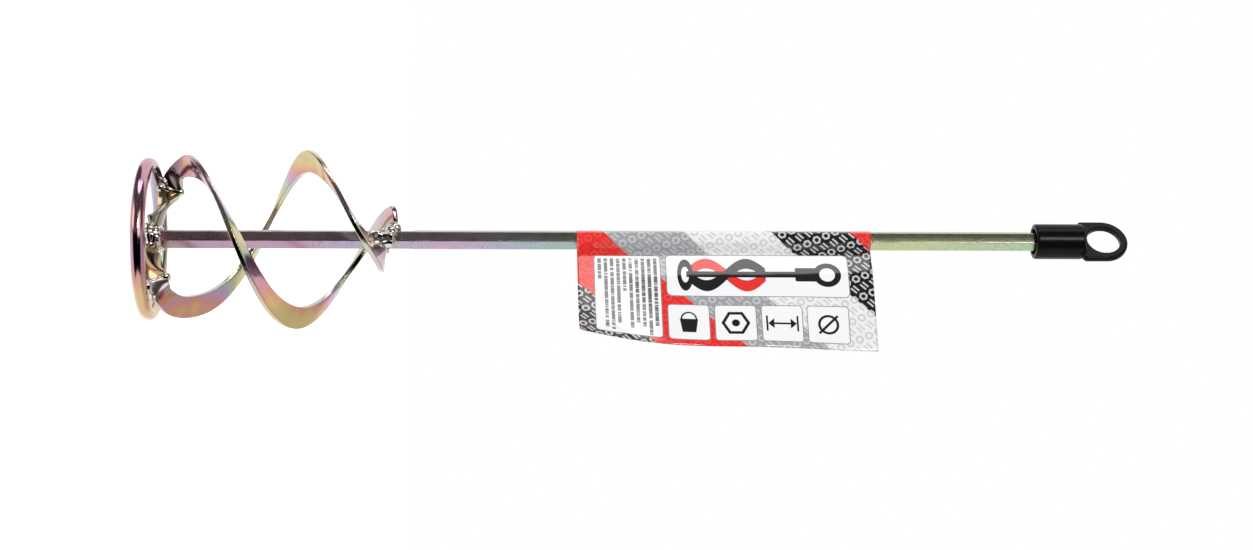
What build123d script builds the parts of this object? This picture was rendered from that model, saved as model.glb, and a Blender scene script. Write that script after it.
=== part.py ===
from build123d import *
import os
from math import cos, radians, sin

# Mortar mixing paddle, standing on its ring. Millimetres, +Z up the shaft from the ring to the shank.
# The origin is on the shaft's axis, in the plane that the ring stands on.

# --- shaft ---
SHAFT_FLATS = 7.5        # across flats
SHAFT_CORNER = 38.5      # angle of one corner about +Z, from +X
SHAFT_FOOT = 0.6         # the shaft stops just above the ring's underside
SHAFT_TOP = 400.0
SHAFT_CHAMFER = 0.6

# --- base ring, a closed ring of round bar ---
RING_BAR = 6.0
RING_CENTRE_RADIUS = 31.8

# --- blades and spokes, hand-bent flat bar ---
BAR_WIDTH = 9.7
BAR_THICKNESS = 2.3
# Each spoke runs out from the hub with a quarter twist and is welded to the foot of a blade, which
# touches the ring there and climbs in one turn to the shaft.
# A spoke station is (radius, angle, height) of the bar's middle, then the direction of its width
# as (radial, around, up). A blade station is (angle, outer radius, height, lean), where the lean
# is how far the outer edge tips below the horizontal, in degrees.
SPOKE_A = [
    ((5.7, -34, 4.4), (0.0, -0.8, -0.6)),
    ((14.5, -42, 5.3), (0.12, -0.7, -0.7)),
    ((24.0, -42, 8.4), (0.5, -0.05, -0.86)),
]
BLADE_A = [
    (-38, 33, 8.2, 30), (-20, 34, 12.5, 28), (0, 33.5, 19, 17), (45, 35, 33, 3), (90, 37, 47, -2),
    (135, 39.5, 59.5, 2), (180, 38, 71, 12), (225, 32, 83.5, 17), (270, 26.5, 95.5, 12),
    (310, 18.5, 102, 9), (350, 14, 102.5, 2),
]
SPOKE_B = [
    ((6.0, -14, 3.6), (0.1, -0.88, 0.45)),
    ((14.5, -42, 7.2), (0.1, -0.97, -0.2)),
    ((28.4, -40, 9.2), (0.2, 0.1, -0.97)),
]
BLADE_B = [
    (-20, 36.5, 13.5, 10), (0, 36, 19.5, 12), (45, 35, 31, 15), (90, 37, 43, 12), (135, 38.5, 54.5, 12),
    (180, 38, 66.5, 18), (225, 34, 80, 23), (270, 25, 94, 18), (310, 18, 102, 10), (350, 15, 107, 12),
]
ARMS = {"a": (SPOKE_A, BLADE_A, 0), "b": (SPOKE_B, BLADE_B, 180)}

# --- weld beads, each (bead radius, first end, last end) ---
# An end is (radius, angle, height), with the angle counted from the start of the arm.
RING_WELD = (1.9, (30.6, -46, 6.2), (30.6, -36, 6.2))
TOP_WELDS = {
    "a": (2.4, (5.0, 285, 99.0), (5.2, 352, 103.5)),
    "b": (2.4, (5.0, 295, 101.5), (5.4, 350, 109.0)),
}
JOINT_BEAD = 1.5         # across the bar, where a spoke meets its blade
HUB_WELD_RADIUS = 6.1    # round the foot of the shaft
HUB_WELD_BOTTOM = 0.7
HUB_WELD_TOP = 8.8
HUB_WELD_ROUNDING = 2.4

# --- plastic hanger cap, pushed over the top of the shaft ---
CAP_RADIUS = 7.5
CAP_BOTTOM = 380.5
CAP_TUBE_TOP = 401.2
CAP_EDGE = 0.8
CAP_MOUTH_RADIUS = 5.5
CAP_MOUTH_DEPTH = 3.0
CAP_CLEARANCE = 0.04     # round the shaft's corners
CAP_END_GAP = 0.3        # past the shaft's top
LOOP_CENTRE = 410.25
LOOP_RADIUS = 10.15
LOOP_HOLE = 7.0
LOOP_THICKNESS = 2.8
LOOP_CHAMFER = 0.5
LOOP_ANGLE = 231.0       # angle of the loop's face about +Z, from +X
SHOULDER_BOTTOM = 398.6
SHOULDER_RADIUS = 6.6    # where the loop's plate comes out of the tube

# --- label, a film folded round the shaft, with both ends glued together as a flag ---
LABEL_BOTTOM = 185.5
LABEL_LENGTH = 125.0
FILM = 0.35
FLAG_ROOT = (3.9, -1.2)          # X and Y of the flag's crease
FLAG_EDGE_BOTTOM = (36.5, -33.0)  # X and Y of its free edge at the label's lower end
FLAG_EDGE_TOP = (45.6, -23.5)    # and at its upper end


def around(radius, angle, height):
    """The point at a radius, an angle about +Z and a height."""
    return Vector(radius * cos(radians(angle)), radius * sin(radians(angle)), height)


def direction(angle, radial, tangential, up):
    """A direction given by its parts along the radius, round the axis and up."""
    return around(radial, angle, up) + around(tangential, angle + 90, 0)


def upright_cylinder(radius, bottom, top):
    align = (Align.CENTER, Align.CENTER, Align.MIN)
    return Pos(0, 0, bottom) * Cylinder(radius, top - bottom, align=align)


def stations(arm):
    """Middles of the bar and directions of its width, from the hub to the blade's top end."""
    spoke, blade, start = ARMS[arm]
    middles, widths = [], []
    for (radius, angle, height), width in spoke:
        middles.append(around(radius, start + angle, height))
        widths.append(direction(start + angle, *width).normalized())
    for angle, radius, height, lean in blade:
        width = direction(start + angle, cos(radians(lean)), 0, -sin(radians(lean)))
        middles.append(around(radius, start + angle, height) - width * (BAR_WIDTH / 2))
        widths.append(width)
    return middles, widths


def bar_corners(arm):
    """The four corners of the bar's section at every station, as four rows of points."""
    middles, widths = stations(arm)
    path = Edge.make_spline(middles)
    rows = [[], [], [], []]
    for middle, width in zip(middles, widths):
        along = path.tangent_at(middle)
        half_width = (width - along * width.dot(along)).normalized() * (BAR_WIDTH / 2)
        half_thickness = along.cross(half_width).normalized() * (BAR_THICKNESS / 2)
        rows[0].append(middle + half_width + half_thickness)
        rows[1].append(middle + half_width - half_thickness)
        rows[2].append(middle - half_width - half_thickness)
        rows[3].append(middle - half_width + half_thickness)
    return rows


def bar_solid(rows):
    """A bent and twisted flat bar between four rows of corner points."""
    edges = [Edge.make_spline(row) for row in rows]
    faces = [Face.make_surface_from_curves(edges[i], edges[(i + 1) % 4]) for i in range(4)]
    for end in (0, -1):
        faces.append(Face(Wire.make_polygon([row[end] for row in rows])))
    return Solid(Shell(faces))


def weld_bead(radius, first, last):
    """A long rounded drop of weld from one point to another."""
    half_length = (last - first).length / 2 + radius
    drop = scale(Sphere(1), by=(radius, radius, half_length))
    return Plane(origin=(first + last) / 2, z_dir=last - first) * drop


def arm_weld(arm, weld):
    """A weld bead whose ends are counted from the start of an arm."""
    radius, *ends = weld
    first, last = [around(end[0], ARMS[arm][2] + end[1], end[2]) for end in ends]
    return weld_bead(radius, first, last)


def joint_weld(arm):
    """Weld across the bar, where the spoke meets the blade."""
    middles, widths = stations(arm)
    foot = len(ARMS[arm][0]) - 1
    reach = widths[foot] * (BAR_WIDTH / 2 - JOINT_BEAD / 2)
    return weld_bead(JOINT_BEAD, middles[foot] - reach, middles[foot] + reach)


def hub_weld():
    """Collar of weld round the foot of the shaft."""
    collar = upright_cylinder(HUB_WELD_RADIUS, HUB_WELD_BOTTOM, HUB_WELD_TOP)
    return fillet(collar.edges(), HUB_WELD_ROUNDING) - shaft_bar()


def shaft_section(flats):
    return RegularPolygon(flats / 2, 6, major_radius=False, rotation=SHAFT_CORNER)


def shaft_bar():
    return extrude(Plane.XY.offset(SHAFT_FOOT) * shaft_section(SHAFT_FLATS), SHAFT_TOP - SHAFT_FOOT)


def hex_shaft():
    bar = shaft_bar()
    return chamfer(bar.edges().group_by(Axis.Z)[-1], SHAFT_CHAMFER)


def base_ring():
    return Pos(0, 0, RING_BAR / 2) * Torus(RING_CENTRE_RADIUS, RING_BAR / 2)


def hanger_cap():
    """Closed tube with a flat, round-ended loop. Built with the loop's face along +Y, then turned."""
    tube = upright_cylinder(CAP_RADIUS, CAP_BOTTOM, CAP_TUBE_TOP)
    tube = fillet(tube.edges(), CAP_EDGE)
    outline = Polyline(
        (-SHOULDER_RADIUS, SHOULDER_BOTTOM), (-LOOP_RADIUS, CAP_TUBE_TOP), (-LOOP_RADIUS, LOOP_CENTRE)
    )
    outline += ThreePointArc(
        (-LOOP_RADIUS, LOOP_CENTRE), (0, LOOP_CENTRE + LOOP_RADIUS), (LOOP_RADIUS, LOOP_CENTRE)
    )
    outline += Polyline(
        (LOOP_RADIUS, LOOP_CENTRE), (LOOP_RADIUS, CAP_TUBE_TOP), (SHOULDER_RADIUS, SHOULDER_BOTTOM),
        (-SHOULDER_RADIUS, SHOULDER_BOTTOM),
    )
    plate = extrude(Plane.XZ * make_face(outline), LOOP_THICKNESS / 2, both=True)
    faces = plate.faces().sort_by(Axis.Y)
    plate = chamfer(faces[0].edges() + faces[-1].edges(), LOOP_CHAMFER)
    hole = Pos(0, 0, LOOP_CENTRE) * Rot(90, 0, 0) * Cylinder(LOOP_HOLE, 2 * LOOP_THICKNESS)
    shaft_corner = SHAFT_FLATS / 2 / cos(radians(30))
    bore = upright_cylinder(shaft_corner + CAP_CLEARANCE, CAP_BOTTOM, SHAFT_TOP + CAP_END_GAP)
    mouth = upright_cylinder(CAP_MOUTH_RADIUS, CAP_BOTTOM, CAP_BOTTOM + CAP_MOUTH_DEPTH)
    cap = (tube + (plate - hole)) - bore - mouth
    return Rot(0, 0, LOOP_ANGLE + 90) * cap


def flag_end(edge, height):
    """Cross-section of the flag at one end of the label: two films lying together."""
    root = Vector(*FLAG_ROOT, height)
    tip = Vector(*edge, height)
    side = (tip - root).cross(Vector(0, 0, 1)).normalized() * FILM
    return Face(Wire.make_polygon([root + side, tip + side, tip - side, root - side]))


def label_tag():
    top = LABEL_BOTTOM + LABEL_LENGTH
    ring = shaft_section(SHAFT_FLATS + 2 * FILM) - shaft_section(SHAFT_FLATS)
    wrap = extrude(Plane.XY.offset(LABEL_BOTTOM) * ring, LABEL_LENGTH)
    flag = loft([flag_end(FLAG_EDGE_BOTTOM, LABEL_BOTTOM), flag_end(FLAG_EDGE_TOP, top)], ruled=True)
    return wrap + (flag - shaft_bar())


def build():
    parts = {"hex_shaft": hex_shaft(), "base_ring": base_ring(), "hub_weld": hub_weld()}
    for arm in ARMS:
        rows = bar_corners(arm)
        foot = len(ARMS[arm][0])
        parts[f"spoke_{arm}"] = bar_solid([row[:foot] for row in rows])
        parts[f"blade_{arm}"] = bar_solid([row[foot - 1:] for row in rows])
        parts[f"joint_weld_{arm}"] = joint_weld(arm)
        parts[f"ring_weld_{arm}"] = arm_weld(arm, RING_WELD)
        parts[f"top_weld_{arm}"] = arm_weld(arm, TOP_WELDS[arm])
    parts["hanger_cap"] = hanger_cap()
    parts["label_tag"] = label_tag()
    return parts


os.makedirs("parts", exist_ok=True)
for name, shape in build().items():
    export_step(shape, f"parts/{name}.step")
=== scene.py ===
import math

import bmesh
import bpy
import numpy as np
from mathutils import Matrix, Vector, noise


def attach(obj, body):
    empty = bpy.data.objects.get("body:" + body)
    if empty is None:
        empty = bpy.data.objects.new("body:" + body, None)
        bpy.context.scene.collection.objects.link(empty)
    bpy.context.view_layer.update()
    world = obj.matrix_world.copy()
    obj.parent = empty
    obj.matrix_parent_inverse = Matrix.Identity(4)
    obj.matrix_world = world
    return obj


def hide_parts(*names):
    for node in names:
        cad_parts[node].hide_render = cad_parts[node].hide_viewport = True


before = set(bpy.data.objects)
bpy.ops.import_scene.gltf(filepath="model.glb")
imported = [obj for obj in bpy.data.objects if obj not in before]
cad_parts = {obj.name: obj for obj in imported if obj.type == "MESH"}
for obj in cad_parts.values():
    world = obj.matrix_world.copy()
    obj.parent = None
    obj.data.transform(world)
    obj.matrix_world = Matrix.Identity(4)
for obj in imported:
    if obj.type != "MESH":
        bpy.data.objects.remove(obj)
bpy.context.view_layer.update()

# The paddle stands on its ring, with +Z up the shaft. All sizes below are in millimetres.
MM = 0.001

# --- shaft ---
SHAFT_FLATS = 7.5
SHAFT_CORNER = 38.5          # angle of one corner about +Z
SHAFT_FOOT = 0.6
SHAFT_TOP = 400.0
SHAFT_EDGE = 0.45            # radius of its long edges
SHAFT_CHAMFER = 0.7

# --- base ring ---
RING_BAR = 6.0
RING_CENTRE_RADIUS = 31.8
RING_OUT_OF_ROUND = 0.12
RING_WARP = 0.06
RING_LIFT = 0.05             # keeps the warped ring from dipping below the floor

# --- blades and spokes, the same stations as the CAD model ---
BAR_WIDTH = 9.7
BAR_THICKNESS = 2.3
BAR_EDGE = 0.5               # radius of the bar's edges
END_ROUNDING = 2.8           # of the corners at a blade's top end
SPOKE_A = [
    ((5.7, -34, 4.4), (0.0, -0.8, -0.6)),
    ((14.5, -42, 5.3), (0.12, -0.7, -0.7)),
    ((24.0, -42, 8.4), (0.5, -0.05, -0.86)),
]
BLADE_A = [
    (-38, 33, 8.2, 30), (-20, 34, 12.5, 28), (0, 33.5, 19, 17), (45, 35, 33, 3), (90, 37, 47, -2),
    (135, 39.5, 59.5, 2), (180, 38, 71, 12), (225, 32, 83.5, 17), (270, 26.5, 95.5, 12),
    (310, 18.5, 102, 9), (350, 14, 102.5, 2),
]
SPOKE_B = [
    ((6.0, -14, 3.6), (0.1, -0.88, 0.45)),
    ((14.5, -42, 7.2), (0.1, -0.97, -0.2)),
    ((28.4, -40, 9.2), (0.2, 0.1, -0.97)),
]
BLADE_B = [
    (-20, 36.5, 13.5, 10), (0, 36, 19.5, 12), (45, 35, 31, 15), (90, 37, 43, 12), (135, 38.5, 54.5, 12),
    (180, 38, 66.5, 18), (225, 34, 80, 23), (270, 25, 94, 18), (310, 18, 102, 10), (350, 15, 107, 12),
]
ARMS = {"a": (SPOKE_A, BLADE_A, 0), "b": (SPOKE_B, BLADE_B, 180)}


# ---------------------------------------------------------------- geometry helpers

def around(radius, angle, height):
    """The point at a radius, an angle about +Z and a height."""
    turn = math.radians(angle)
    return np.array([radius * math.cos(turn), radius * math.sin(turn), height])


def unit(vectors):
    return vectors / np.linalg.norm(vectors, axis=-1, keepdims=True)


def spline(knots, values, at):
    """Natural cubic spline through values at the knots, read at the given places."""
    knots, values, at = np.asarray(knots, float), np.asarray(values, float), np.asarray(at, float)
    count, gap = len(knots), np.diff(knots)
    rows, right = np.zeros((count, count)), np.zeros_like(values)
    rows[0, 0] = rows[-1, -1] = 1
    for i in range(1, count - 1):
        rows[i, i - 1:i + 2] = gap[i - 1], 2 * (gap[i - 1] + gap[i]), gap[i]
        right[i] = 6 * ((values[i + 1] - values[i]) / gap[i] - (values[i] - values[i - 1]) / gap[i - 1])
    bend = np.linalg.solve(rows, right)
    span = np.clip(np.searchsorted(knots, at) - 1, 0, count - 2)
    width = gap[span][:, None]
    left, ahead = (knots[span + 1] - at)[:, None] / width, (at - knots[span])[:, None] / width
    curve = left * values[span] + ahead * values[span + 1]
    return curve + ((left**3 - left) * bend[span] + (ahead**3 - ahead) * bend[span + 1]) * width**2 / 6


def new_object(name, vertices, faces, uv=None):
    """Smooth-shaded mesh object from points in millimetres, with one UV pair for each face corner."""
    mesh = bpy.data.meshes.new(name)
    mesh.from_pydata((np.asarray(vertices) * MM).tolist(), [], faces)
    mesh.polygons.foreach_set("use_smooth", [True] * len(mesh.polygons))
    if uv is not None:
        layer = mesh.uv_layers.new(name="UVMap")
        layer.data.foreach_set("uv", np.asarray(uv, np.float32).ravel())
    mesh.update()
    piece = bpy.data.objects.new(name, mesh)
    bpy.context.scene.collection.objects.link(piece)
    return piece


def tube(name, rings, across, closed_ends=True, loop=False):
    """Skin over a row of closed cross-sections. UV is (millimetres along, place round the section)."""
    rings = np.asarray(rings)
    count, size = rings.shape[:2]
    middles = rings.mean(axis=1)
    along = np.concatenate([[0], np.cumsum(np.linalg.norm(np.diff(middles, axis=0), axis=1))])
    if loop:
        along = np.append(along, along[-1] + along[1])
    faces, uv = [], []
    for i in range(count if loop else count - 1):
        after = (i + 1) % count
        for j in range(size):
            beside = (j + 1) % size
            faces.append((i * size + j, i * size + beside, after * size + beside, after * size + j))
            near, far = across[j], across[j + 1]
            uv += [(along[i], near), (along[i], far), (along[i + 1], far), (along[i + 1], near)]
    if closed_ends and not loop:
        for start, order in ((0, -1), ((count - 1) * size, 1)):
            faces.append(tuple(range(start, start + size))[::order])
            uv += [(along[0 if start == 0 else -1], 0.5)] * size
    return new_object(name, rings.reshape(-1, 3), faces, uv)


def finish_piece(piece, material, slot, *nodes, body="paddle"):
    piece.data.materials.clear()
    piece.data.materials.append(material)
    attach(piece, body)
    if nodes:
        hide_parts(*nodes)
    return piece


# ---------------------------------------------------------------- node helpers

class Sock:
    """A value in a node tree that takes part in arithmetic."""

    def __init__(self, tree, value):
        self.tree, self.value = tree, value

    def math(self, operation, *others):
        node = self.tree.nodes.new("ShaderNodeMath")
        node.operation = operation
        for socket, value in zip(node.inputs, (self, *others)):
            plug(self.tree, value, socket)
        return Sock(self.tree, node.outputs[0])

    def __add__(self, other):
        return self.math("ADD", other)

    def __sub__(self, other):
        return self.math("SUBTRACT", other)

    def __mul__(self, other):
        return self.math("MULTIPLY", other)

    def __truediv__(self, other):
        return self.math("DIVIDE", other)

    def __rsub__(self, other):
        return self.math("MULTIPLY", -1).math("ADD", other)

    def abs(self):
        return self.math("ABSOLUTE")

    def between(self, low, high, soft=0.02):
        """1 where the value is between low and high, with soft borders."""
        return self.step(low, soft) * (1 - self.step(high, soft))

    def step(self, at, soft=0.02):
        """0 below a place and 1 above it, with a soft border."""
        node = self.tree.nodes.new("ShaderNodeMapRange")
        node.interpolation_type = "SMOOTHSTEP"
        plug(self.tree, self, node.inputs["Value"])
        node.inputs["From Min"].default_value = at - soft
        node.inputs["From Max"].default_value = at + soft
        return Sock(self.tree, node.outputs["Result"])


def plug(tree, value, socket):
    if isinstance(value, Sock):
        tree.links.new(value.value, socket)
    else:
        socket.default_value = value


def new_material(name):
    material = bpy.data.materials.new(name)
    material.use_nodes = True
    return material, material.node_tree, material.node_tree.nodes["Principled BSDF"]


def coordinates(tree, kind):
    """The X, Y and Z of a texture coordinate."""
    texture = tree.nodes.new("ShaderNodeTexCoord")
    split = tree.nodes.new("ShaderNodeSeparateXYZ")
    tree.links.new(texture.outputs[kind], split.inputs[0])
    return [Sock(tree, output) for output in split.outputs]


def combine(tree, x, y, z=0.0):
    node = tree.nodes.new("ShaderNodeCombineXYZ")
    for value, socket in zip((x, y, z), node.inputs):
        plug(tree, value, socket)
    return Sock(tree, node.outputs[0])


def noise_field(tree, vector, scale, detail=2.0, roughness=0.5):
    node = tree.nodes.new("ShaderNodeTexNoise")
    plug(tree, vector, node.inputs["Vector"])
    node.inputs["Scale"].default_value = scale
    node.inputs["Detail"].default_value = detail
    node.inputs["Roughness"].default_value = roughness
    return Sock(tree, node.outputs["Fac"])


def ramp(tree, value, stops, mode="LINEAR"):
    node = tree.nodes.new("ShaderNodeValToRGB")
    node.color_ramp.interpolation = mode
    plug(tree, value, node.inputs[0])
    elements = node.color_ramp.elements
    while len(elements) < len(stops):
        elements.new(0.5)
    for element, (place, colour) in zip(elements, stops):
        element.position = place
        element.color = (*colour, 1)
    return Sock(tree, node.outputs["Color"])


def mix(tree, share, first, second, blend="MIX"):
    node = tree.nodes.new("ShaderNodeMix")
    node.data_type = "RGBA"
    node.blend_type = blend
    plug(tree, share, node.inputs["Factor"])
    for value, socket in ((first, node.inputs[6]), (second, node.inputs[7])):
        if isinstance(value, Sock):
            plug(tree, value, socket)
        else:
            socket.default_value = (*value, 1)
    return Sock(tree, node.outputs[2])


def bump(tree, shader, height, strength, distance):
    node = tree.nodes.new("ShaderNodeBump")
    node.inputs["Strength"].default_value = strength
    node.inputs["Distance"].default_value = distance * MM
    plug(tree, height, node.inputs["Height"])
    tree.links.new(node.outputs[0], shader.inputs["Normal"])


def srgb(red, green, blue):
    """Linear colour from 0 to 255 display values."""
    def linear(level):
        level /= 255
        return level / 12.92 if level <= 0.04045 else ((level + 0.055) / 1.055) ** 2.4
    return tuple(linear(level) for level in (red, green, blue))


# ---------------------------------------------------------------- materials

# In the names below, upper is towards -X and lower towards +X, as in the picture.
# The tints that a yellow zinc film runs through as it gets thicker.
FILM_TINTS = (
    srgb(222, 204, 138), srgb(230, 190, 136), srgb(226, 166, 138), srgb(216, 156, 154), srgb(212, 160, 182),
    srgb(192, 168, 196), srgb(184, 192, 190), srgb(186, 194, 142), srgb(222, 204, 138),
)


def film_ramp(tree, thickness):
    """Colour of the zinc film, with thickness running round the tints once from 0 to 1."""
    looped = thickness.math("FRACT")
    steps = len(FILM_TINTS) - 1
    return ramp(tree, looped, [(i / steps, tint) for i, tint in enumerate(FILM_TINTS)])


def zinc_base(name, roughness):
    """Metal with smudges in its gloss, and the object coordinate that its patterns share."""
    material, tree, shader = new_material(name)
    shader.inputs["Metallic"].default_value = 1.0
    where = tree.nodes.new("ShaderNodeTexCoord")
    place = Sock(tree, where.outputs["Object"])
    smudge = noise_field(tree, place, 260.0, 3.0)
    rough = smudge * 0.12 + roughness
    plug(tree, rough, shader.inputs["Roughness"])
    return material, tree, shader, place


TINT_REACH = 36              # how far out from the shaft the tints run, towards -X and +X
# Painted highlight: a pale tint on the bars' thin edges that stands in for their glints.
RIM_HIGHLIGHT_TINT = srgb(222, 224, 210)
TOP_END_TINT = srgb(226, 196, 196)
UPPER_SPOKE_TINT = srgb(176, 162, 150)
LOWER_SPOKE_TINT = srgb(208, 158, 122)
# Painted shade and painted reflection of the ring, on the upper blade foot.
UPPER_FOOT_SHADE_TINT = srgb(112, 66, 58)
LOWER_FOOT_TINT = srgb(182, 180, 164)


def blade_thickness(tree, place, x, y, foot, hub):
    """Thickness of the film on the blades and spokes, as a place along the film's tints."""
    across = coordinates(tree, "UV")[1]
    flank = 1 - x.abs() / (TINT_REACH * MM)
    off_middle = (across - 0.58).abs()
    rear = (y / (30 * MM)).math("MAXIMUM", 0) * flank * (1 - flank)
    front = (y / (-30 * MM)).math("MAXIMUM", 0) * flank * flank
    slow = noise_field(tree, place, 30.0, 1.0)
    fine = noise_field(tree, place, 95.0, 2.0)
    thickness = flank * 0.7 + rear * 2.6 + front * 0.32 + off_middle * 0.2 + hub * 0.2
    thickness = thickness + slow * 0.6 + fine * 0.5 - 0.56
    upper_foot = foot * (1 - x.step(0, 20 * MM))
    return thickness + foot * 0.12 + upper_foot * 0.26


def blade_material():
    """Film from yellow-green to pink and lilac, greyer where the bars are welded. Painted shade darkens the
    upper foot by the ring, and a painted highlight pales the bars' edges.
    """
    material, tree, shader, place = zinc_base("zinc_blade", 0.08)
    x, y, z = coordinates(tree, "Object")
    outwards = x.abs() / (TINT_REACH * MM)
    foot = (1 - z.step(32 * MM, 12 * MM)) * outwards
    hub = 1 - (x * x + y * y).math("SQRT").step(25 * MM, 5 * MM)
    hub = hub * (1 - z.step(20 * MM, 5 * MM))
    film = film_ramp(tree, blade_thickness(tree, place, x, y, foot, hub) + 1)
    spokes = mix(tree, x.step(9 * MM, 4 * MM), UPPER_SPOKE_TINT, LOWER_SPOKE_TINT)
    film = mix(tree, hub * 0.7, film, spokes)
    film = mix(tree, z.step(92 * MM, 8 * MM) * 0.7, film, TOP_END_TINT)
    near_ring = 1 - z.step(16.5 * MM, 3 * MM)
    # Painted shade: the upper blade foot near the ring is darkened towards dark brown, for the ring's shade
    # and reflection.
    film = mix(tree, near_ring * (1 - x.step(-21 * MM, 3 * MM)) * 0.65, film, UPPER_FOOT_SHADE_TINT)
    lower_foot = near_ring * x.between(19 * MM, 25.5 * MM, 2 * MM)
    film = mix(tree, lower_foot * 0.7, film, LOWER_FOOT_TINT)
    rim = (coordinates(tree, "UV")[1] - 0.5).abs().step(0.485, 0.01)
    # Painted highlight: the thin edges are painted half-way to a pale tint.
    plug(tree, mix(tree, rim * 0.55, film, RIM_HIGHLIGHT_TINT), shader.inputs["Base Color"])
    grain = noise_field(tree, place, 2200.0, 2.0)
    wave = noise_field(tree, place, 320.0, 1.0)
    chips = noise_field(tree, place, 1300.0, 2.0)
    bump(tree, shader, grain * 0.08 + chips * rim * 3.0 + wave * 0.5, 0.3, 0.1)
    return material


RING_GREY = srgb(196, 184, 190)


def ring_material():
    """Film that is pink to lilac on the ring's -X half and yellow on its +X half."""
    material, tree, shader, place = zinc_base("zinc_ring", 0.06)
    x, y, _ = coordinates(tree, "Object")
    slow = noise_field(tree, place, 34.0, 1.0)
    fine = noise_field(tree, place, 140.0, 2.0)
    down = x / (35 * MM)
    far = (y / (30 * MM)).math("MAXIMUM", 0) * (1 - down.abs())
    lower_half = (down - 0.3).step(0.2, 0.3)
    thickness = 0.46 - lower_half * 0.44 + far * 0.35 + slow * 0.6 + fine * 0.14 - 0.32
    film = film_ramp(tree, thickness + 1)
    plug(tree, mix(tree, 0.15, film, RING_GREY), shader.inputs["Base Color"])
    grain = noise_field(tree, place, 1800.0, 2.0)
    wave = noise_field(tree, place, 260.0, 1.0)
    bump(tree, shader, grain * 0.04 + wave * 0.5, 0.3, 0.1)
    return material


CORNER_X = 0.65              # the faces nearer to -X than this corner get a painted brown reflection
SHAFT_REFLECTION_BROWN = srgb(176, 162, 138)
SPECKLE_TINT = srgb(150, 140, 132)
# Tint of the film up the shaft, from the foot to the top.
SHAFT_TINTS = (
    (0.0, srgb(170, 160, 150)), (0.05, srgb(196, 164, 190)), (0.17, srgb(206, 170, 196)),
    (0.23, srgb(190, 182, 208)), (0.262, srgb(204, 194, 150)), (0.285, srgb(194, 184, 212)),
    (0.325, srgb(212, 178, 206)), (0.37, srgb(188, 188, 212)), (0.43, srgb(174, 196, 194)),
    (0.60, srgb(180, 206, 178)), (0.80, srgb(206, 216, 166)), (0.93, srgb(190, 214, 178)),
    (1.0, srgb(190, 196, 170)),
)


def shaft_material():
    """Drawn bar: fine lengthwise grain under the film, whose tint drifts along the bar, with a painted brown
    reflection on the faces towards -X.
    """
    material, tree, shader, place = zinc_base("zinc_shaft", 0.17)
    x, y, z = coordinates(tree, "Object")
    drift = noise_field(tree, place, 45.0, 2.0)
    height = z / (SHAFT_TOP * MM) + drift * 0.06 - 0.03
    speckle = noise_field(tree, place, 1500.0, 2.0)
    # Painted reflection: the faces towards -X are painted half-way to brown.
    reflection_faces = 1 - x.step(CORNER_X * MM, 0.2 * MM)
    film = mix(tree, reflection_faces * 0.5, ramp(tree, height, SHAFT_TINTS), SHAFT_REFLECTION_BROWN)
    film = mix(tree, speckle.step(0.56, 0.12) * 0.4, film, SPECKLE_TINT)
    plug(tree, film, shader.inputs["Base Color"])
    drawn = noise_field(tree, combine(tree, x, y, z * 0.12), 3200.0, 2.0)
    bump(tree, shader, drawn * 0.5 + speckle * 0.6, 0.5, 0.08)
    return material


WELD_TINTS = (
    srgb(214, 180, 192), srgb(234, 230, 228), srgb(214, 206, 186), srgb(238, 236, 236), srgb(222, 192, 204),
)


def weld_material():
    """Smooth shiny weld metal with patches of white, pink and straw."""
    material, tree, shader, place = zinc_base("zinc_weld", 0.05)
    slow = noise_field(tree, place, 160.0, 2.0)
    colour = ramp(tree, slow, [(0.25 + 0.12 * i, tint) for i, tint in enumerate(WELD_TINTS)])
    plug(tree, colour, shader.inputs["Base Color"])
    ripple = noise_field(tree, place, 420.0, 1.0)
    bump(tree, shader, ripple, 0.15, 0.12)
    return material


CAP_BLACK = (0.0032, 0.0029, 0.004)


def cap_material():
    """Moulded black polythene, slightly glossy."""
    material, tree, shader = new_material("black_polythene")
    shader.inputs["Base Color"].default_value = (*CAP_BLACK, 1)
    shader.inputs["Specular IOR Level"].default_value = 0.12
    where = tree.nodes.new("ShaderNodeTexCoord")
    place = Sock(tree, where.outputs["Object"])
    haze = noise_field(tree, place, 300.0, 3.0)
    plug(tree, haze * 0.12 + 0.14, shader.inputs["Roughness"])
    grain = noise_field(tree, place, 2600.0, 3.0)
    flow = noise_field(tree, place, 240.0, 1.0)
    bump(tree, shader, grain * 0.25 + flow, 0.25, 0.08)
    return material


# ---------------------------------------------------------------- bars, ring and shaft

def stations(arm):
    """Middles of the bar and directions of its width, from the hub to the blade's top end."""
    spoke, blade, start = ARMS[arm]
    middles, widths = [], []
    for (radius, angle, height), (radial, tangential, up) in spoke:
        middles.append(around(radius, start + angle, height))
        widths.append(around(radial, start + angle, up) + around(tangential, start + angle + 90, 0))
    for angle, radius, height, lean in blade:
        tip = math.radians(lean)
        width = around(math.cos(tip), start + angle, -math.sin(tip))
        middles.append(around(radius, start + angle, height) - width * BAR_WIDTH / 2)
        widths.append(width)
    return np.array(middles), unit(np.array(widths))


def bar_outline(width, thickness, edge, steps=5, flats=6):
    """Rounded rectangle as points across and through the bar, and each one's place across its width."""
    outline = []
    corners = ((1, 1, 0), (-1, 1, 90), (-1, -1, 180), (1, -1, 270))
    for sign_w, sign_t, first in corners:
        middle = (sign_w * (width / 2 - edge), sign_t * (thickness / 2 - edge))
        for i in range(steps):
            angle = math.radians(first + 90 * i / (steps - 1))
            outline.append((middle[0] + edge * math.cos(angle), middle[1] + edge * math.sin(angle)))
        if first in (0, 180):
            side = sign_t * thickness / 2
            reach = sign_w * (width / 2 - edge)
            outline += [(reach * (1 - 2 * i / flats), side) for i in range(1, flats)]
    return np.array(outline)


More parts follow.
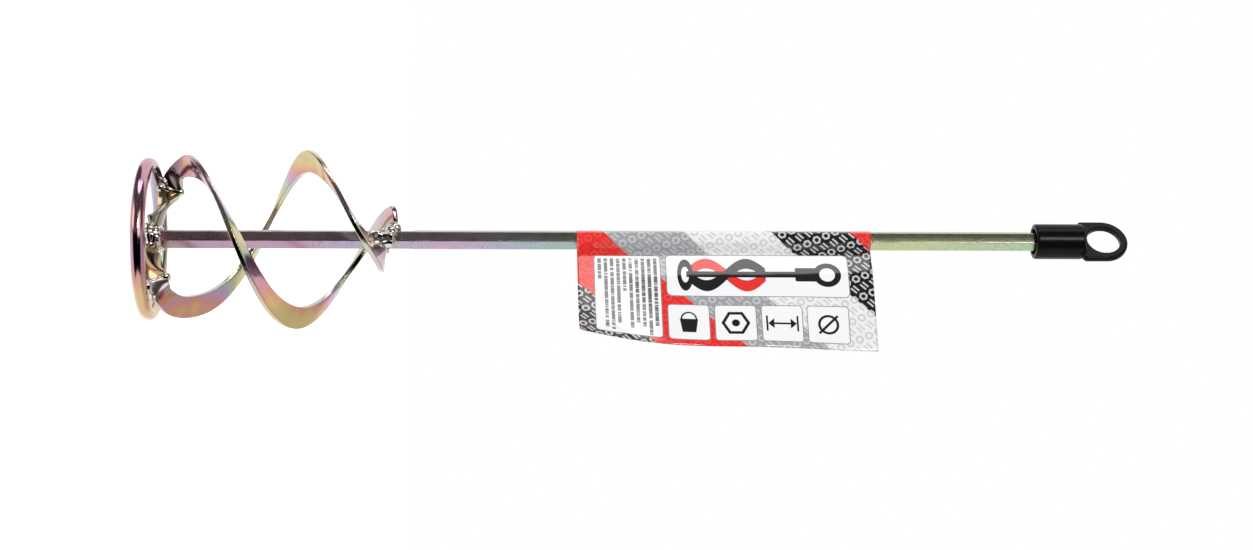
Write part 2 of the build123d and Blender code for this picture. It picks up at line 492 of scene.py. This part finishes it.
def bar(name, arm, first, last, material, node):
    """The bent and twisted bar between two of an arm's stations, with softly rounded edges."""
    middles, widths = stations(arm)
    knots = np.concatenate([[0], np.cumsum(np.linalg.norm(np.diff(middles, axis=0), axis=1))])
    at = np.linspace(knots[first], knots[last], max(24, int((knots[last] - knots[first]) / 0.6)))
    path = spline(knots, middles, at)
    ahead = unit(spline(knots, middles, at + 0.01) - spline(knots, middles, at - 0.01))
    width = spline(knots, widths, at)
    width = unit(width - ahead * (width * ahead).sum(axis=1, keepdims=True))
    through = np.cross(ahead, width)
    outline = bar_outline(BAR_WIDTH, BAR_THICKNESS, BAR_EDGE)
    rings = []
    for place, middle, across, up in zip(at, path, width, through):
        to_end = min(knots[-1] - place, END_ROUNDING)
        drop = END_ROUNDING - math.sqrt(END_ROUNDING**2 - (END_ROUNDING - to_end) ** 2)
        share = 1 - drop / (BAR_WIDTH / 2) + 0.012 * noise.noise((place / 14, 3.7, ord(arm)))
        rings.append([middle + across * (w * share) + up * t for w, t in outline])
    side = np.append(outline[:, 0], outline[0, 0]) / BAR_WIDTH + 0.5
    piece = tube(name, rings, side)
    return finish_piece(piece, material, "zinc", node)


def ring(material):
    """Closed ring of round bar, bent by hand and so not quite true."""
    turns, sides = 360, 40
    rings = []
    for i in range(turns):
        angle = 360 * i / turns
        here = around(1, angle, 0)
        out = RING_CENTRE_RADIUS + RING_OUT_OF_ROUND * noise.noise(tuple(here * 2.2))
        warp = RING_WARP * noise.noise(tuple(here * 1.7 + 5))
        lift = RING_BAR / 2 + RING_LIFT + warp
        section = []
        for j in range(sides):
            turn = 2 * math.pi * j / sides
            radius = out + RING_BAR / 2 * math.cos(turn)
            section.append(around(radius, angle, lift + RING_BAR / 2 * math.sin(turn)))
        rings.append(section)
    piece = tube("ring_bar", rings, np.arange(sides + 1) / sides, loop=True)
    return finish_piece(piece, material, "zinc", "base_ring")


def shaft(material):
    """Hexagonal bar with rounded long edges and a chamfered top."""
    corner_steps = 5
    flat = SHAFT_FLATS / 2
    section = []
    for k in range(6):
        corner = SHAFT_CORNER + 60 * k
        inset = (flat - SHAFT_EDGE) / math.cos(math.radians(30))
        middle = around(inset, corner, 0)
        for i in range(corner_steps):
            section.append(middle + around(SHAFT_EDGE, corner - 30 + 60 * i / (corner_steps - 1), 0))
    section = np.array(section)
    shoulder = SHAFT_TOP - SHAFT_CHAMFER
    heights = [SHAFT_FOOT, *np.arange(SHAFT_FOOT + 0.5, shoulder, 4.0), shoulder, SHAFT_TOP]
    rings = [section + (0, 0, height) for height in heights]
    rings[-1] = section * (1 - SHAFT_CHAMFER / flat) + (0, 0, SHAFT_TOP)
    piece = tube("shaft_bar", rings, np.arange(len(section) + 1) / len(section))
    return finish_piece(piece, material, "zinc", "hex_shaft")


# ---------------------------------------------------------------- welds

WELD_VOXEL = 0.24
WELD_SMOOTHING = 30
JOINT_BEAD = 1.42            # radius of the bead across each spoke's outer end


def merged(name, drops, voxel, smoothing, lumps):
    """One skin over overlapping balls, given as (middle, radius)."""
    build = bmesh.new()
    for middle, radius in drops:
        place = Matrix.Translation(Vector(middle) * MM)
        bmesh.ops.create_icosphere(build, subdivisions=3, radius=radius * MM, matrix=place)
    mesh = bpy.data.meshes.new(name)
    build.to_mesh(mesh)
    build.free()
    piece = bpy.data.objects.new(name, mesh)
    bpy.context.scene.collection.objects.link(piece)
    return reskinned(piece, voxel, smoothing, lumps)


def reskinned(piece, voxel, smoothing, lumps=0.0):
    """Piece with its mesh replaced by an even, softened skin, made uneven by so many millimetres."""
    remesh = piece.modifiers.new("skin", "REMESH")
    remesh.mode = "VOXEL"
    remesh.voxel_size = voxel * MM
    soften = piece.modifiers.new("soften", "SMOOTH")
    soften.factor = 0.5
    soften.iterations = smoothing
    bpy.context.view_layer.update()
    graph = bpy.context.evaluated_depsgraph_get()
    mesh = bpy.data.meshes.new_from_object(piece.evaluated_get(graph))
    piece.modifiers.clear()
    piece.data = mesh
    mesh.polygons.foreach_set("use_smooth", [True] * len(mesh.polygons))
    if lumps:
        normals = [vertex.normal.copy() for vertex in mesh.vertices]
        for vertex, normal in zip(mesh.vertices, normals):
            x, y, z = vertex.co / MM
            height = noise.noise((x * 0.34, y * 0.34, z * 0.18))
            vertex.co += normal * height * lumps * MM
    return piece


def wobble(seed):
    """An offset that looks random but is the same each time for the same seed."""
    return np.array([noise.noise(seed + Vector((0, 0, shift))) for shift in (11, 37, 59)])


def weld(name, rows, material, node, jitter=0.3, lumps=0.6):
    """Lumpy weld metal along rows of (start, end, drops, radius). A point is (radius, angle, height)."""
    drops = []
    for row, (start, end, count, radius) in enumerate(rows):
        for i in range(count):
            share = i / max(count - 1, 1)
            spot = [a + (b - a) * share for a, b in zip(start, end)]
            middle = around(*spot)
            seed = Vector(middle.tolist()) * 0.9 + Vector((row * 3.1, 0, 0))
            middle = middle + wobble(seed) * radius * jitter
            drops.append((middle, radius * (1 + 0.3 * noise.noise(seed * 1.7))))
    piece = merged(name, drops, WELD_VOXEL, WELD_SMOOTHING, lumps)
    return finish_piece(piece, material, "weld", node)


def polar(point):
    """A point's radius, angle about +Z and height."""
    x, y, z = point
    return math.hypot(x, y), math.degrees(math.atan2(y, x)), z


def welds(material):
    """All the weld metal: at the ring, across the spokes' outer ends, at the top and round the hub."""
    for arm, (_, _, start) in ARMS.items():
        foot = [((29.9, start - 47, 5.8), (30.8, start - 35, 6.8), 4, 2.0)]
        weld(f"ring_bead_{arm}", foot, material, f"ring_weld_{arm}")
        middles, widths = stations(arm)
        reach = widths[2] * (BAR_WIDTH / 2 - 0.4)
        inner, outer = polar(middles[2] - reach), polar(middles[2] + reach)
        weld(f"joint_bead_{arm}", [
            (inner, outer, 20, JOINT_BEAD), (inner, inner, 2, 2.1), (outer, outer, 2, 2.0),
        ], material, f"joint_weld_{arm}", jitter=0.1, lumps=0.25)
    weld("top_bead_a", [
        ((4.6, 252, 98.6), (4.5, 258, 106.0), 9, 2.3),
        ((4.7, 278, 98.0), (4.4, 284, 105.0), 8, 2.4),
        ((4.7, 300, 98.6), (4.6, 345, 103.4), 6, 2.4),
    ], material, "top_weld_a", jitter=0.26, lumps=0.9)
    weld("top_bead_b", [
        ((4.8, 120, 103.5), (5.0, 175, 108.0), 6, 2.7),
        ((4.3, 170, 106.0), (4.2, 222, 106.5), 4, 2.3),
    ], material, "top_weld_b", jitter=0.2, lumps=0.4)
    weld("hub_bead", [
        ((3.7, 0, 3.7), (3.7, 330, 3.7), 12, 2.6),
        ((3.6, 20, 6.4), (3.6, 350, 6.4), 11, 2.6),
        ((6.2, 206, 2.7), (5.4, 160, 4.2), 3, 1.7),
    ], material, "hub_weld")


# ---------------------------------------------------------------- cap

LOOP_ANGLE = 231.0           # angle of the loop's face about +Z
CAP_VOXEL = 0.2
CAP_SMOOTHING = 14


def cap(material):
    """The moulded cap, softened from the CAD solid."""
    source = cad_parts["hanger_cap"]
    piece = bpy.data.objects.new("cap_moulding", source.data.copy())
    bpy.context.scene.collection.objects.link(piece)
    square_on = Matrix.Rotation(math.radians(-LOOP_ANGLE), 4, "Z")
    piece.data.transform(square_on)
    reskinned(piece, CAP_VOXEL, CAP_SMOOTHING)
    piece.data.transform(square_on.inverted())
    return finish_piece(piece, material, "cap_plastic", "hanger_cap", body="cap")


# ---------------------------------------------------------------- label

LABEL_BOTTOM = 185.5         # its lower end on the shaft
LABEL_LENGTH = 125.0
FLAG_LENGTH = 47.0           # from the crease to the free edge
FILM = 0.16
WRAP_CORNER = 4.3            # how far out the film passes over the shaft's rounded corners
CREASE = (4.6, -1.5)         # X and Y of the fold where the two leaves meet
TOP_LINE = 120               # angle from the shaft's corner to the line that the print is measured from


def leaf(share):
    """Path of the front leaf in X and Y from the crease out, where share is the place along the label."""
    steps = 48
    pace = FLAG_LENGTH / steps
    points = [np.array(CREASE)]
    for i in range(steps):
        out = (i + 0.5) / steps
        lift = 27 * share + 33 * (1 - share)                # tilt in degrees, more at the lower end
        lift += (9 - 18 * share) * (out - 0.25) * 0.7       # bow, one way below and the other above
        lift += 8.5 / (1 + math.exp((out - 0.26) * 40))     # crease about a quarter of the way out
        lift += 32 * (1 - share) ** 5 * out ** 3            # curl of the lower corner
        lift += 0.7 * math.sin(9 * share + 3 * out)         # gentle waves
        lift += 1.6 * math.sin(11 * share + 1) * out ** 2
        turn = math.radians(lift)
        points.append(points[-1] + pace * np.array([math.cos(turn), -math.sin(turn)]))
    return np.array(points)


def label_path(share):
    """Path of the film in X and Y: back leaf, wrap, front leaf. Also its distance from the top line."""
    front = leaf(share)
    ahead = unit(np.gradient(front, axis=0))
    behind = front + np.stack([ahead[:, 1], -ahead[:, 0]], axis=1) * -FILM * 1.4
    wrap = []
    first, last, pace = SHAFT_CORNER - 30, SHAFT_CORNER + 300, 3
    for angle in np.arange(first, last, pace):
        off_face = (angle - SHAFT_CORNER) % 60 - 30
        radius = (SHAFT_FLATS / 2 + FILM) / math.cos(math.radians(off_face))
        radius -= max(0.0, radius - WRAP_CORNER + 0.16) ** 2 * 1.4
        wrap.append(around(radius, angle, 0)[:2])
    path = np.concatenate([behind[::-1], wrap, front])
    gaps = np.linalg.norm(np.diff(path, axis=0), axis=1)
    reach = np.concatenate([[0], np.cumsum(gaps)])
    top = reach[len(behind) + int((SHAFT_CORNER + TOP_LINE - first) / pace)]
    return path, reach - top


def label(material):
    """The folded film, as one thin closed skin with UV in millimetres along and round the shaft."""
    count = 126
    rings, measure = [], None
    for i in range(count):
        share = i / (count - 1)
        path, reach = label_path(share)
        ahead = unit(np.gradient(path, axis=0))
        normal = np.stack([ahead[:, 1], -ahead[:, 0]], axis=1) * FILM / 2
        outline = np.concatenate([path + normal, (path - normal)[::-1]])
        height = LABEL_BOTTOM + LABEL_LENGTH * share
        rings.append(np.column_stack([outline, np.full(len(outline), height)]))
        measure = np.concatenate([reach, reach[::-1]])
    piece = tube("label_film", rings, np.append(measure, measure[0]))
    finish_piece(piece, material, "label_film", "label_tag")


# The print, in millimetres: u runs up the shaft from the label's lower end and v runs from its top
# line over the shaft and out along the flag. On the back leaf v is negative.
BAND_SLOPE = 1.08            # how far the diagonal bands move along u for each step of v
BAND_BEND = 14.5             # nearer the top line than this the bands run steeper
BAND_EASE = 0.18
BAND_STARTS = (-33.5, 4.9, 39.4, 76.4, 109.9)        # u of their borders at v = 0
BAND_INKS = (srgb(24, 23, 25), srgb(214, 44, 40), srgb(150, 150, 153), srgb(222, 222, 224), srgb(24, 23, 25),
             srgb(214, 44, 40))
BAND_MARKS = (srgb(196, 196, 198), srgb(222, 70, 64), srgb(188, 188, 190), srgb(190, 190, 193),
              srgb(196, 196, 198), srgb(222, 70, 64))
PAPER = srgb(230, 230, 232)
INK = srgb(28, 26, 30)
RED_INK = srgb(216, 48, 46)
MARK_ROW = 4.1               # spacing of the small repeated marks
MARK_STEP = 4.5
TEXT_PANEL = (7, 35.2, 16.2, 57.8)
MARK_PANEL = (37.4, 114.8, 15.8, 36.9)
BACK_PANEL = (14, 111, -52, -20)
BACK_TEXT = (17, 74, -51, -21)
LINE_BLOCK = (80, 104, -46, -28)
SMALL_PANELS = ((37.4, 55), (57, 74.6), (76.6, 94), (95.8, 113.6))
SMALL_PANEL_V = (40.9, 58)
BACK_LINES = (-24, -23, -25, -38, -23, -24, -26, -23, -33, -24, -23, -25, -24, -40, -23, -26)
TEXT_LINES = (29, 55, 56, 52, 35, 54, 51, 53, 57, 52)     # v where each line of grey text bars ends


def rounded_box(u, v, left, right, top, bottom, radius):
    """Distance to a box with rounded corners, negative inside."""
    across = (u - (left + right) / 2).abs() - ((right - left) / 2 - radius)
    down = (v - (top + bottom) / 2).abs() - ((bottom - top) / 2 - radius)
    past = (across.math("MAXIMUM", 0) * across.math("MAXIMUM", 0)
            + down.math("MAXIMUM", 0) * down.math("MAXIMUM", 0)).math("SQRT")
    return past + across.math("MAXIMUM", down).math("MINIMUM", 0) - radius


def circle(u, v, radius, stretch=1.0):
    """Distance to a circle about the origin, stretched along v."""
    return ((u * u) + (v / stretch) * (v / stretch)).math("SQRT") - radius


def hexagon(u, v, radius):
    """Distance to a hexagon about the origin, given half its width across flats."""
    return (u.abs() * 0.866 + v.abs() * 0.5).math("MAXIMUM", v.abs()) - radius


def filled(distance, soft=0.09):
    """1 inside an outline, given the distance to it."""
    return 1 - distance.step(0, soft)


def stroke(distance, width, soft=0.09):
    """1 on a line of a given width along an outline."""
    return filled(distance.abs() - width / 2, soft)


def either(*masks):
    """1 where any of the masks is 1."""
    total = masks[0]
    for mask in masks[1:]:
        total = total.math("MAXIMUM", mask)
    return total


def repeated_marks(u, v):
    """Small hexagons and pairs of bars in rows along the diagonal bands."""
    slant = math.atan(1 / BAND_SLOPE)
    along = u * math.cos(slant) + v * math.sin(slant) + 200
    row_place = (v * math.cos(slant) - u * math.sin(slant)) / MARK_ROW + 60
    row = row_place.math("FLOOR")
    cell_place = along / MARK_STEP + row * 0.37
    x = (cell_place.math("FRACT") - 0.5) * MARK_STEP
    y = (row_place.math("FRACT") - 0.5) * MARK_ROW
    odd = cell_place.math("FLOOR").math("MODULO", 2).step(0.5, 0.1)
    hexagons = stroke(hexagon(x, y, 1.25), 0.8)
    bars = filled((x.abs() - 1.6).math("MAXIMUM", (y.abs() - 0.8).abs() - 0.38))
    return (1 - odd) * hexagons + odd * bars


def paddle_mark(u, v):
    """Bold side view of a mixing paddle, as dark strokes and one red strand."""
    ring = stroke(circle(u - 45.5, v - 26.2, 2.5, 2.4), 1.7)
    turn = (u - 46) * (2 * math.pi / 34)
    reach = turn.math("SINE") * 5.6
    within = u.between(47, 79.5, 0.1)
    strand = within * filled(((v - 26 - reach).abs() - 2.7) * 0.7)
    red_strand = within * filled(((v - 26 + reach).abs() - 2.7) * 0.7)
    bar_shape = filled(rounded_box(u, v, 46, 99, 24.5, 27.5, 0.2))
    grip = filled(rounded_box(u, v, 92, 102, 22.6, 29.4, 0.8))
    loop = stroke(circle(u - 105.6, v - 26, 4.6), 2.6)
    return either(ring, strand, bar_shape, grip, loop), red_strand


def pictograms(u, v):
    """A bucket, a hexagon, a length and a diameter, one on each small panel."""
    middle = sum(SMALL_PANEL_V) / 2
    down = v - middle
    bucket, six, length, size = [u - (left + right) / 2 for left, right in SMALL_PANELS]
    pail = filled((bucket.abs() + down * 0.16 - 3.6).math("MAXIMUM", (down - 1.6).abs() - 3.2))
    handle = stroke(circle(bucket, down + 1.6, 3.1), 0.7)
    nut = stroke(hexagon(six, down, 4.6), 1.3)
    core = filled(circle(six, down, 1.7))
    shaft_line = filled((length.abs() - 5.5).math("MAXIMUM", down.abs() - 0.42))
    heads = filled((down.abs() * 1.1 + length.abs() - 6).math("MAXIMUM", 3.4 - length.abs()))
    stops = filled(((length.abs() - 6.4).abs() - 0.4).math("MAXIMUM", down.abs() - 3.6))
    round_line = stroke(circle(size, down, 3.9), 1.1)
    slash = filled(((size + down).abs() - 0.75).math("MAXIMUM", (size - down).abs() - 8.2))
    return either(pail, handle, nut, core, shaft_line, heads, stops, round_line, slash)


def text_bars(tree, u, v, panel, ends):
    """Lines of grey dashes that stand in for small text, down to an end for each line."""
    left, right, top, _ = panel
    pitch = (right - left - 2) / len(ends)
    place = (u - left - 1) / pitch
    letters = noise_field(tree, combine(tree, place.math("FLOOR") * 7.3, v * 0.95), 1.0, 3.0, 0.8)
    dashes = letters.step(0.43, 0.03)
    columns = None
    for i, end in enumerate(ends):
        line = filled((place - i - 0.5).abs() - 0.29, 0.05) * v.between(top + 1.6, end, 0.1)
        columns = line if columns is None else columns + line
    return columns * dashes


def line_block(tree, u, v):
    """Block of fine lines of uneven width on the back leaf."""
    place = combine(tree, (u * 1.8).math("FLOOR"), 0.0)
    uneven = noise_field(tree, place, 3.7, 0.0)
    left, right, top, bottom = LINE_BLOCK
    return u.between(left, right, 0.1) * v.between(top, bottom, 0.1) * uneven.step(0.5, 0.02)


def label_material():
    """Glossy printed film: diagonal bands with small marks, and white panels with pictograms."""
    material, tree, shader = new_material("label_print")
    u, v, _ = coordinates(tree, "UV")
    marks = repeated_marks(u, v)
    band = u - v * BAND_SLOPE - (BAND_BEND - v).math("MAXIMUM", 0) * BAND_EASE
    ground, ink = BAND_INKS[0], BAND_MARKS[0]
    for start, next_ground, next_ink in zip(BAND_STARTS, BAND_INKS[1:], BAND_MARKS[1:]):
        past = band.step(start, 0.12)
        ground, ink = mix(tree, past, ground, next_ground), mix(tree, past, ink, next_ink)
    colour = mix(tree, marks * 0.9, ground, ink)
    boxes = [rounded_box(u, v, *TEXT_PANEL, 1.6), rounded_box(u, v, *MARK_PANEL, 2.4)]
    boxes += [rounded_box(u, v, *sides, *SMALL_PANEL_V, 1.6) for sides in SMALL_PANELS]
    boxes.append(rounded_box(u, v, *BACK_PANEL, 2.4))
    panels = either(*[filled(box) for box in boxes])
    borders = either(*[stroke(box + 0.15, 0.32) for box in boxes])
    colour = mix(tree, panels, colour, PAPER)
    colour = mix(tree, borders * 0.8, colour, INK)
    dark, red = paddle_mark(u, v)
    colour = mix(tree, red, colour, RED_INK)
    colour = mix(tree, dark, colour, INK)
    colour = mix(tree, pictograms(u, v), colour, INK)
    text = either(
        text_bars(tree, u, v, TEXT_PANEL, TEXT_LINES), text_bars(tree, u, v, BACK_TEXT, BACK_LINES),
        line_block(tree, u, v),
    )
    colour = mix(tree, text * 0.85, colour, INK)
    plug(tree, colour, shader.inputs["Base Color"])
    shader.inputs["Roughness"].default_value = 0.06
    shader.inputs["Specular IOR Level"].default_value = 0.9
    where = tree.nodes.new("ShaderNodeTexCoord")
    place = Sock(tree, where.outputs["Object"])
    waves = noise_field(tree, place, 70.0, 1.0)
    creases = noise_field(tree, place, 240.0, 2.0)
    bump(tree, shader, waves + creases * 0.12, 0.3, 0.5)
    return material


# ---------------------------------------------------------------- stage, world and camera

CAMERA_HEIGHT = 151.5        # up the shaft
CAMERA_DISTANCE = 926.0
CAMERA_SIDE = 15.0           # towards +X, which is down in the picture
CAMERA_LENS = 62.3
CAMERA_SHIFT = 0.1033
CAMERA_TILT = 0.18           # the shaft runs slightly downhill to the right, in degrees
STUDIO_GROUND = 0.92         # brightness outside every patch
# What glossy rays see round the paddle, as patches of (swing to the right), (rise up the picture),
# softness of the border and brightness. Angles are in degrees from the direction of the camera.
# A later patch lies over the ones before it. The last is the small lamp of the cap's highlight.
STUDIO = (
    ((60, 112), (-60, 42), 8, 0.55),
    ((-150, -96), (22, 200), 6, 0.09),
    ((-98, 104), (8, 200), 6, 0.09),
    ((-68, 62), (-45, 10), 5, 0.0),
    ((-200, -104), (-34, -14), 4, 1.15),
    ((104, 150), (-60, 4), 10, 0.62),
    ((-92, -54), (9, 33), 3, 1.6),
    ((13.5, 56), (2, 35), 3, 1.5),
    ((-200, 200), (82, 200), 4, 0.6),
    ((-95, 95), (66, 84), 1.5, 2.2),
    ((12, 19), (14, 24), 1, 24.0),
)


def camera():
    """Camera level with the paddle's middle, with +Z to the right in the picture."""
    data = bpy.data.cameras.new("camera")
    data.lens = CAMERA_LENS
    data.sensor_width = 36
    data.shift_x = CAMERA_SHIFT
    data.clip_start, data.clip_end = 0.01, 20
    view = bpy.data.objects.new("camera", data)
    bpy.context.scene.collection.objects.link(view)
    right, up, back = Vector((0, 0, 1)), Vector((-1, 0, 0)), Vector((0, -1, 0))
    turn = Matrix((right, up, back)).transposed()
    turn = turn @ Matrix.Rotation(math.radians(CAMERA_TILT), 3, "Z")
    place = Vector((CAMERA_SIDE, -CAMERA_DISTANCE, CAMERA_HEIGHT)) * MM
    view.matrix_world = Matrix.Translation(place) @ turn.to_4x4()
    bpy.context.scene.camera = view


def studio():
    """Glossy rays see the dim, bright and black patches of STUDIO. All other rays see plain white."""
    world = bpy.data.worlds.new("studio")
    bpy.context.scene.world = world
    world.use_nodes = True
    world.cycles.sampling_method = "NONE"
    tree = world.node_tree
    x, y, z = coordinates(tree, "Generated")
    swing = z.math("ARCTAN2", y * -1) * math.degrees(1)
    rise = (x * -1).math("ARCSINE") * math.degrees(1)
    level = STUDIO_GROUND
    for (left, right), (low, high), soft, brightness in STUDIO:
        patch = swing.between(left, right, soft) * rise.between(low, high, soft)
        level = (1 - patch) * level + patch * brightness
    surroundings = tree.nodes["Background"]
    surroundings.inputs["Color"].default_value = (1, 1, 1, 1)
    plug(tree, level, surroundings.inputs["Strength"])
    plain = tree.nodes.new("ShaderNodeBackground")
    plain.inputs["Color"].default_value = (1, 1, 1, 1)
    plain.inputs["Strength"].default_value = 1.0
    path = tree.nodes.new("ShaderNodeLightPath")
    chooser = tree.nodes.new("ShaderNodeMixShader")
    tree.links.new(path.outputs["Is Glossy Ray"], chooser.inputs[0])
    tree.links.new(plain.outputs[0], chooser.inputs[1])
    tree.links.new(surroundings.outputs[0], chooser.inputs[2])
    tree.links.new(chooser.outputs[0], tree.nodes["World Output"].inputs["Surface"])
    bpy.context.scene.view_settings.view_transform = "Standard"


def floor():
    """Plain pale floor that no glossy ray sees."""
    size = 3.0
    mesh = bpy.data.meshes.new("floor")
    corners = [(-size, -size, 0), (size, -size, 0), (size, size, 0), (-size, size, 0)]
    mesh.from_pydata(corners, [], [(0, 1, 2, 3)])
    piece = bpy.data.objects.new("floor", mesh)
    bpy.context.scene.collection.objects.link(piece)
    material, _, shader = new_material("floor_white")
    shader.inputs["Base Color"].default_value = (0.85, 0.85, 0.85, 1)
    shader.inputs["Roughness"].default_value = 0.9
    shader.inputs["Emission Color"].default_value = (1, 1, 1, 1)
    shader.inputs["Emission Strength"].default_value = 0.8
    mesh.materials.append(material)
    piece.visible_glossy = False


camera()
studio()
floor()
blade_zinc = blade_material()
for arm_name in ARMS:
    bar(f"spoke_bar_{arm_name}", arm_name, 0, 2, blade_zinc, f"spoke_{arm_name}")
    bar(f"blade_bar_{arm_name}", arm_name, 2, -1, blade_zinc, f"blade_{arm_name}")
ring(ring_material())
shaft(shaft_material())
welds(weld_material())
cap(cap_material())
label(label_material())
